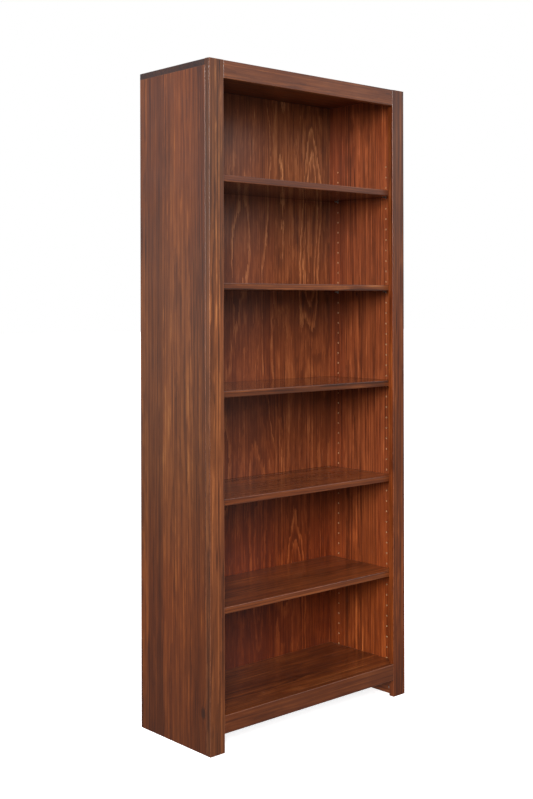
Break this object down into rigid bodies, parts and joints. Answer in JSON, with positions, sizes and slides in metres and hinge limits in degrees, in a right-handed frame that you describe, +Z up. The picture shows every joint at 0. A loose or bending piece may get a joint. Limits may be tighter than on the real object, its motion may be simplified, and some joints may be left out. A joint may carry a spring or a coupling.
{
  "type": "bookcase",
  "caption": "Tall open bookcase in walnut-stained solid wood: a face-framed case with a plywood back, columns of peg holes and loose shelves on steel pegs.",
  "frame": {"origin": "on the floor, at the middle of the bounding box's bottom", "axes": "+Z up; the open front faces -Y, the plywood back +Y; +X to the right of someone who stands before it"},
  "size_m": [0.762, 0.305, 1.829],
  "materials": {
    "walnut_stained_pine": "walnut stain under satin lacquer",
    "stained_plywood": "stained veneered plywood under satin lacquer",
    "bare_beech": "bare",
    "zinc_plated_steel": "bright zinc plate",
    "bright_steel": "drawn wire"
  },
  "bodies": {
    "case": {"side_panel_left": "walnut_stained_pine", "stile_left": "walnut_stained_pine", "base_cleat_left": "walnut_stained_pine", "side_panel_right": "walnut_stained_pine", "stile_right": "walnut_stained_pine", "base_cleat_right": "walnut_stained_pine", "top_panel": "walnut_stained_pine", "top_rail": "walnut_stained_pine", "bottom_rail": "walnut_stained_pine", "bottom_shelf": "walnut_stained_pine", "back_panel": "stained_plywood", "frame_dowels": "bare_beech", "top_dowels": "bare_beech", "cleat_screws": "zinc_plated_steel", "back_nails": "bright_steel"},
    "shelf_1": {"shelf_1": "walnut_stained_pine"},
    "shelf_2": {"shelf_2": "walnut_stained_pine"},
    "shelf_3": {"shelf_3": "walnut_stained_pine"},
    "shelf_4": {"shelf_4": "walnut_stained_pine"},
    "shelf_5": {"shelf_5": "walnut_stained_pine"},
    "shelf_1_pin_left_front": {"shelf_1_pin_left_front": "zinc_plated_steel"},
    "shelf_1_pin_left_rear": {"shelf_1_pin_left_rear": "zinc_plated_steel"},
    "shelf_1_pin_right_front": {"shelf_1_pin_right_front": "zinc_plated_steel"},
    "shelf_1_pin_right_rear": {"shelf_1_pin_right_rear": "zinc_plated_steel"},
    "shelf_2_pin_left_front": {"shelf_2_pin_left_front": "zinc_plated_steel"},
    "shelf_2_pin_left_rear": {"shelf_2_pin_left_rear": "zinc_plated_steel"},
    "shelf_2_pin_right_front": {"shelf_2_pin_right_front": "zinc_plated_steel"},
    "shelf_2_pin_right_rear": {"shelf_2_pin_right_rear": "zinc_plated_steel"},
    "shelf_3_pin_left_front": {"shelf_3_pin_left_front": "zinc_plated_steel"},
    "shelf_3_pin_left_rear": {"shelf_3_pin_left_rear": "zinc_plated_steel"},
    "shelf_3_pin_right_front": {"shelf_3_pin_right_front": "zinc_plated_steel"},
    "shelf_3_pin_right_rear": {"shelf_3_pin_right_rear": "zinc_plated_steel"},
    "shelf_4_pin_left_front": {"shelf_4_pin_left_front": "zinc_plated_steel"},
    "shelf_4_pin_left_rear": {"shelf_4_pin_left_rear": "zinc_plated_steel"},
    "shelf_4_pin_right_front": {"shelf_4_pin_right_front": "zinc_plated_steel"},
    "shelf_4_pin_right_rear": {"shelf_4_pin_right_rear": "zinc_plated_steel"},
    "shelf_5_pin_left_front": {"shelf_5_pin_left_front": "zinc_plated_steel"},
    "shelf_5_pin_left_rear": {"shelf_5_pin_left_rear": "zinc_plated_steel"},
    "shelf_5_pin_right_front": {"shelf_5_pin_right_front": "zinc_plated_steel"},
    "shelf_5_pin_right_rear": {"shelf_5_pin_right_rear": "zinc_plated_steel"}
  },
  "joints": [
    {"name": "shelf_1_lift", "type": "slide", "parent": "case", "child": "shelf_1", "axis": [0, 0, 1], "range_m": [0, 0.26]},
    {"name": "shelf_2_lift", "type": "slide", "parent": "case", "child": "shelf_2", "axis": [0, 0, 1], "range_m": [0, 0.26]},
    {"name": "shelf_3_lift", "type": "slide", "parent": "case", "child": "shelf_3", "axis": [0, 0, 1], "range_m": [0, 0.26]},
    {"name": "shelf_4_lift", "type": "slide", "parent": "case", "child": "shelf_4", "axis": [0, 0, 1], "range_m": [0, 0.26]},
    {"name": "shelf_5_lift", "type": "slide", "parent": "case", "child": "shelf_5", "axis": [0, 0, 1], "range_m": [0, 0.28]},
    {"name": "shelf_1_pin_left_front_pull", "type": "slide", "parent": "case", "child": "shelf_1_pin_left_front", "axis": [1, 0, 0], "range_m": [0, 0.009]},
    {"name": "shelf_1_pin_left_rear_pull", "type": "slide", "parent": "case", "child": "shelf_1_pin_left_rear", "axis": [1, 0, 0], "range_m": [0, 0.009]},
    {"name": "shelf_1_pin_right_front_pull", "type": "slide", "parent": "case", "child": "shelf_1_pin_right_front", "axis": [-1, 0, 0], "range_m": [0, 0.009]},
    {"name": "shelf_1_pin_right_rear_pull", "type": "slide", "parent": "case", "child": "shelf_1_pin_right_rear", "axis": [-1, 0, 0], "range_m": [0, 0.009]},
    {"name": "shelf_2_pin_left_front_pull", "type": "slide", "parent": "case", "child": "shelf_2_pin_left_front", "axis": [1, 0, 0], "range_m": [0, 0.009]},
    {"name": "shelf_2_pin_left_rear_pull", "type": "slide", "parent": "case", "child": "shelf_2_pin_left_rear", "axis": [1, 0, 0], "range_m": [0, 0.009]},
    {"name": "shelf_2_pin_right_front_pull", "type": "slide", "parent": "case", "child": "shelf_2_pin_right_front", "axis": [-1, 0, 0], "range_m": [0, 0.009]},
    {"name": "shelf_2_pin_right_rear_pull", "type": "slide", "parent": "case", "child": "shelf_2_pin_right_rear", "axis": [-1, 0, 0], "range_m": [0, 0.009]},
    {"name": "shelf_3_pin_left_front_pull", "type": "slide", "parent": "case", "child": "shelf_3_pin_left_front", "axis": [1, 0, 0], "range_m": [0, 0.009]},
    {"name": "shelf_3_pin_left_rear_pull", "type": "slide", "parent": "case", "child": "shelf_3_pin_left_rear", "axis": [1, 0, 0], "range_m": [0, 0.009]},
    {"name": "shelf_3_pin_right_front_pull", "type": "slide", "parent": "case", "child": "shelf_3_pin_right_front", "axis": [-1, 0, 0], "range_m": [0, 0.009]},
    {"name": "shelf_3_pin_right_rear_pull", "type": "slide", "parent": "case", "child": "shelf_3_pin_right_rear", "axis": [-1, 0, 0], "range_m": [0, 0.009]},
    {"name": "shelf_4_pin_left_front_pull", "type": "slide", "parent": "case", "child": "shelf_4_pin_left_front", "axis": [1, 0, 0], "range_m": [0, 0.009]},
    {"name": "shelf_4_pin_left_rear_pull", "type": "slide", "parent": "case", "child": "shelf_4_pin_left_rear", "axis": [1, 0, 0], "range_m": [0, 0.009]},
    {"name": "shelf_4_pin_right_front_pull", "type": "slide", "parent": "case", "child": "shelf_4_pin_right_front", "axis": [-1, 0, 0], "range_m": [0, 0.009]},
    {"name": "shelf_4_pin_right_rear_pull", "type": "slide", "parent": "case", "child": "shelf_4_pin_right_rear", "axis": [-1, 0, 0], "range_m": [0, 0.009]},
    {"name": "shelf_5_pin_left_front_pull", "type": "slide", "parent": "case", "child": "shelf_5_pin_left_front", "axis": [1, 0, 0], "range_m": [0, 0.009]},
    {"name": "shelf_5_pin_left_rear_pull", "type": "slide", "parent": "case", "child": "shelf_5_pin_left_rear", "axis": [1, 0, 0], "range_m": [0, 0.009]},
    {"name": "shelf_5_pin_right_front_pull", "type": "slide", "parent": "case", "child": "shelf_5_pin_right_front", "axis": [-1, 0, 0], "range_m": [0, 0.009]},
    {"name": "shelf_5_pin_right_rear_pull", "type": "slide", "parent": "case", "child": "shelf_5_pin_right_rear", "axis": [-1, 0, 0], "range_m": [0, 0.009]}
  ]
}
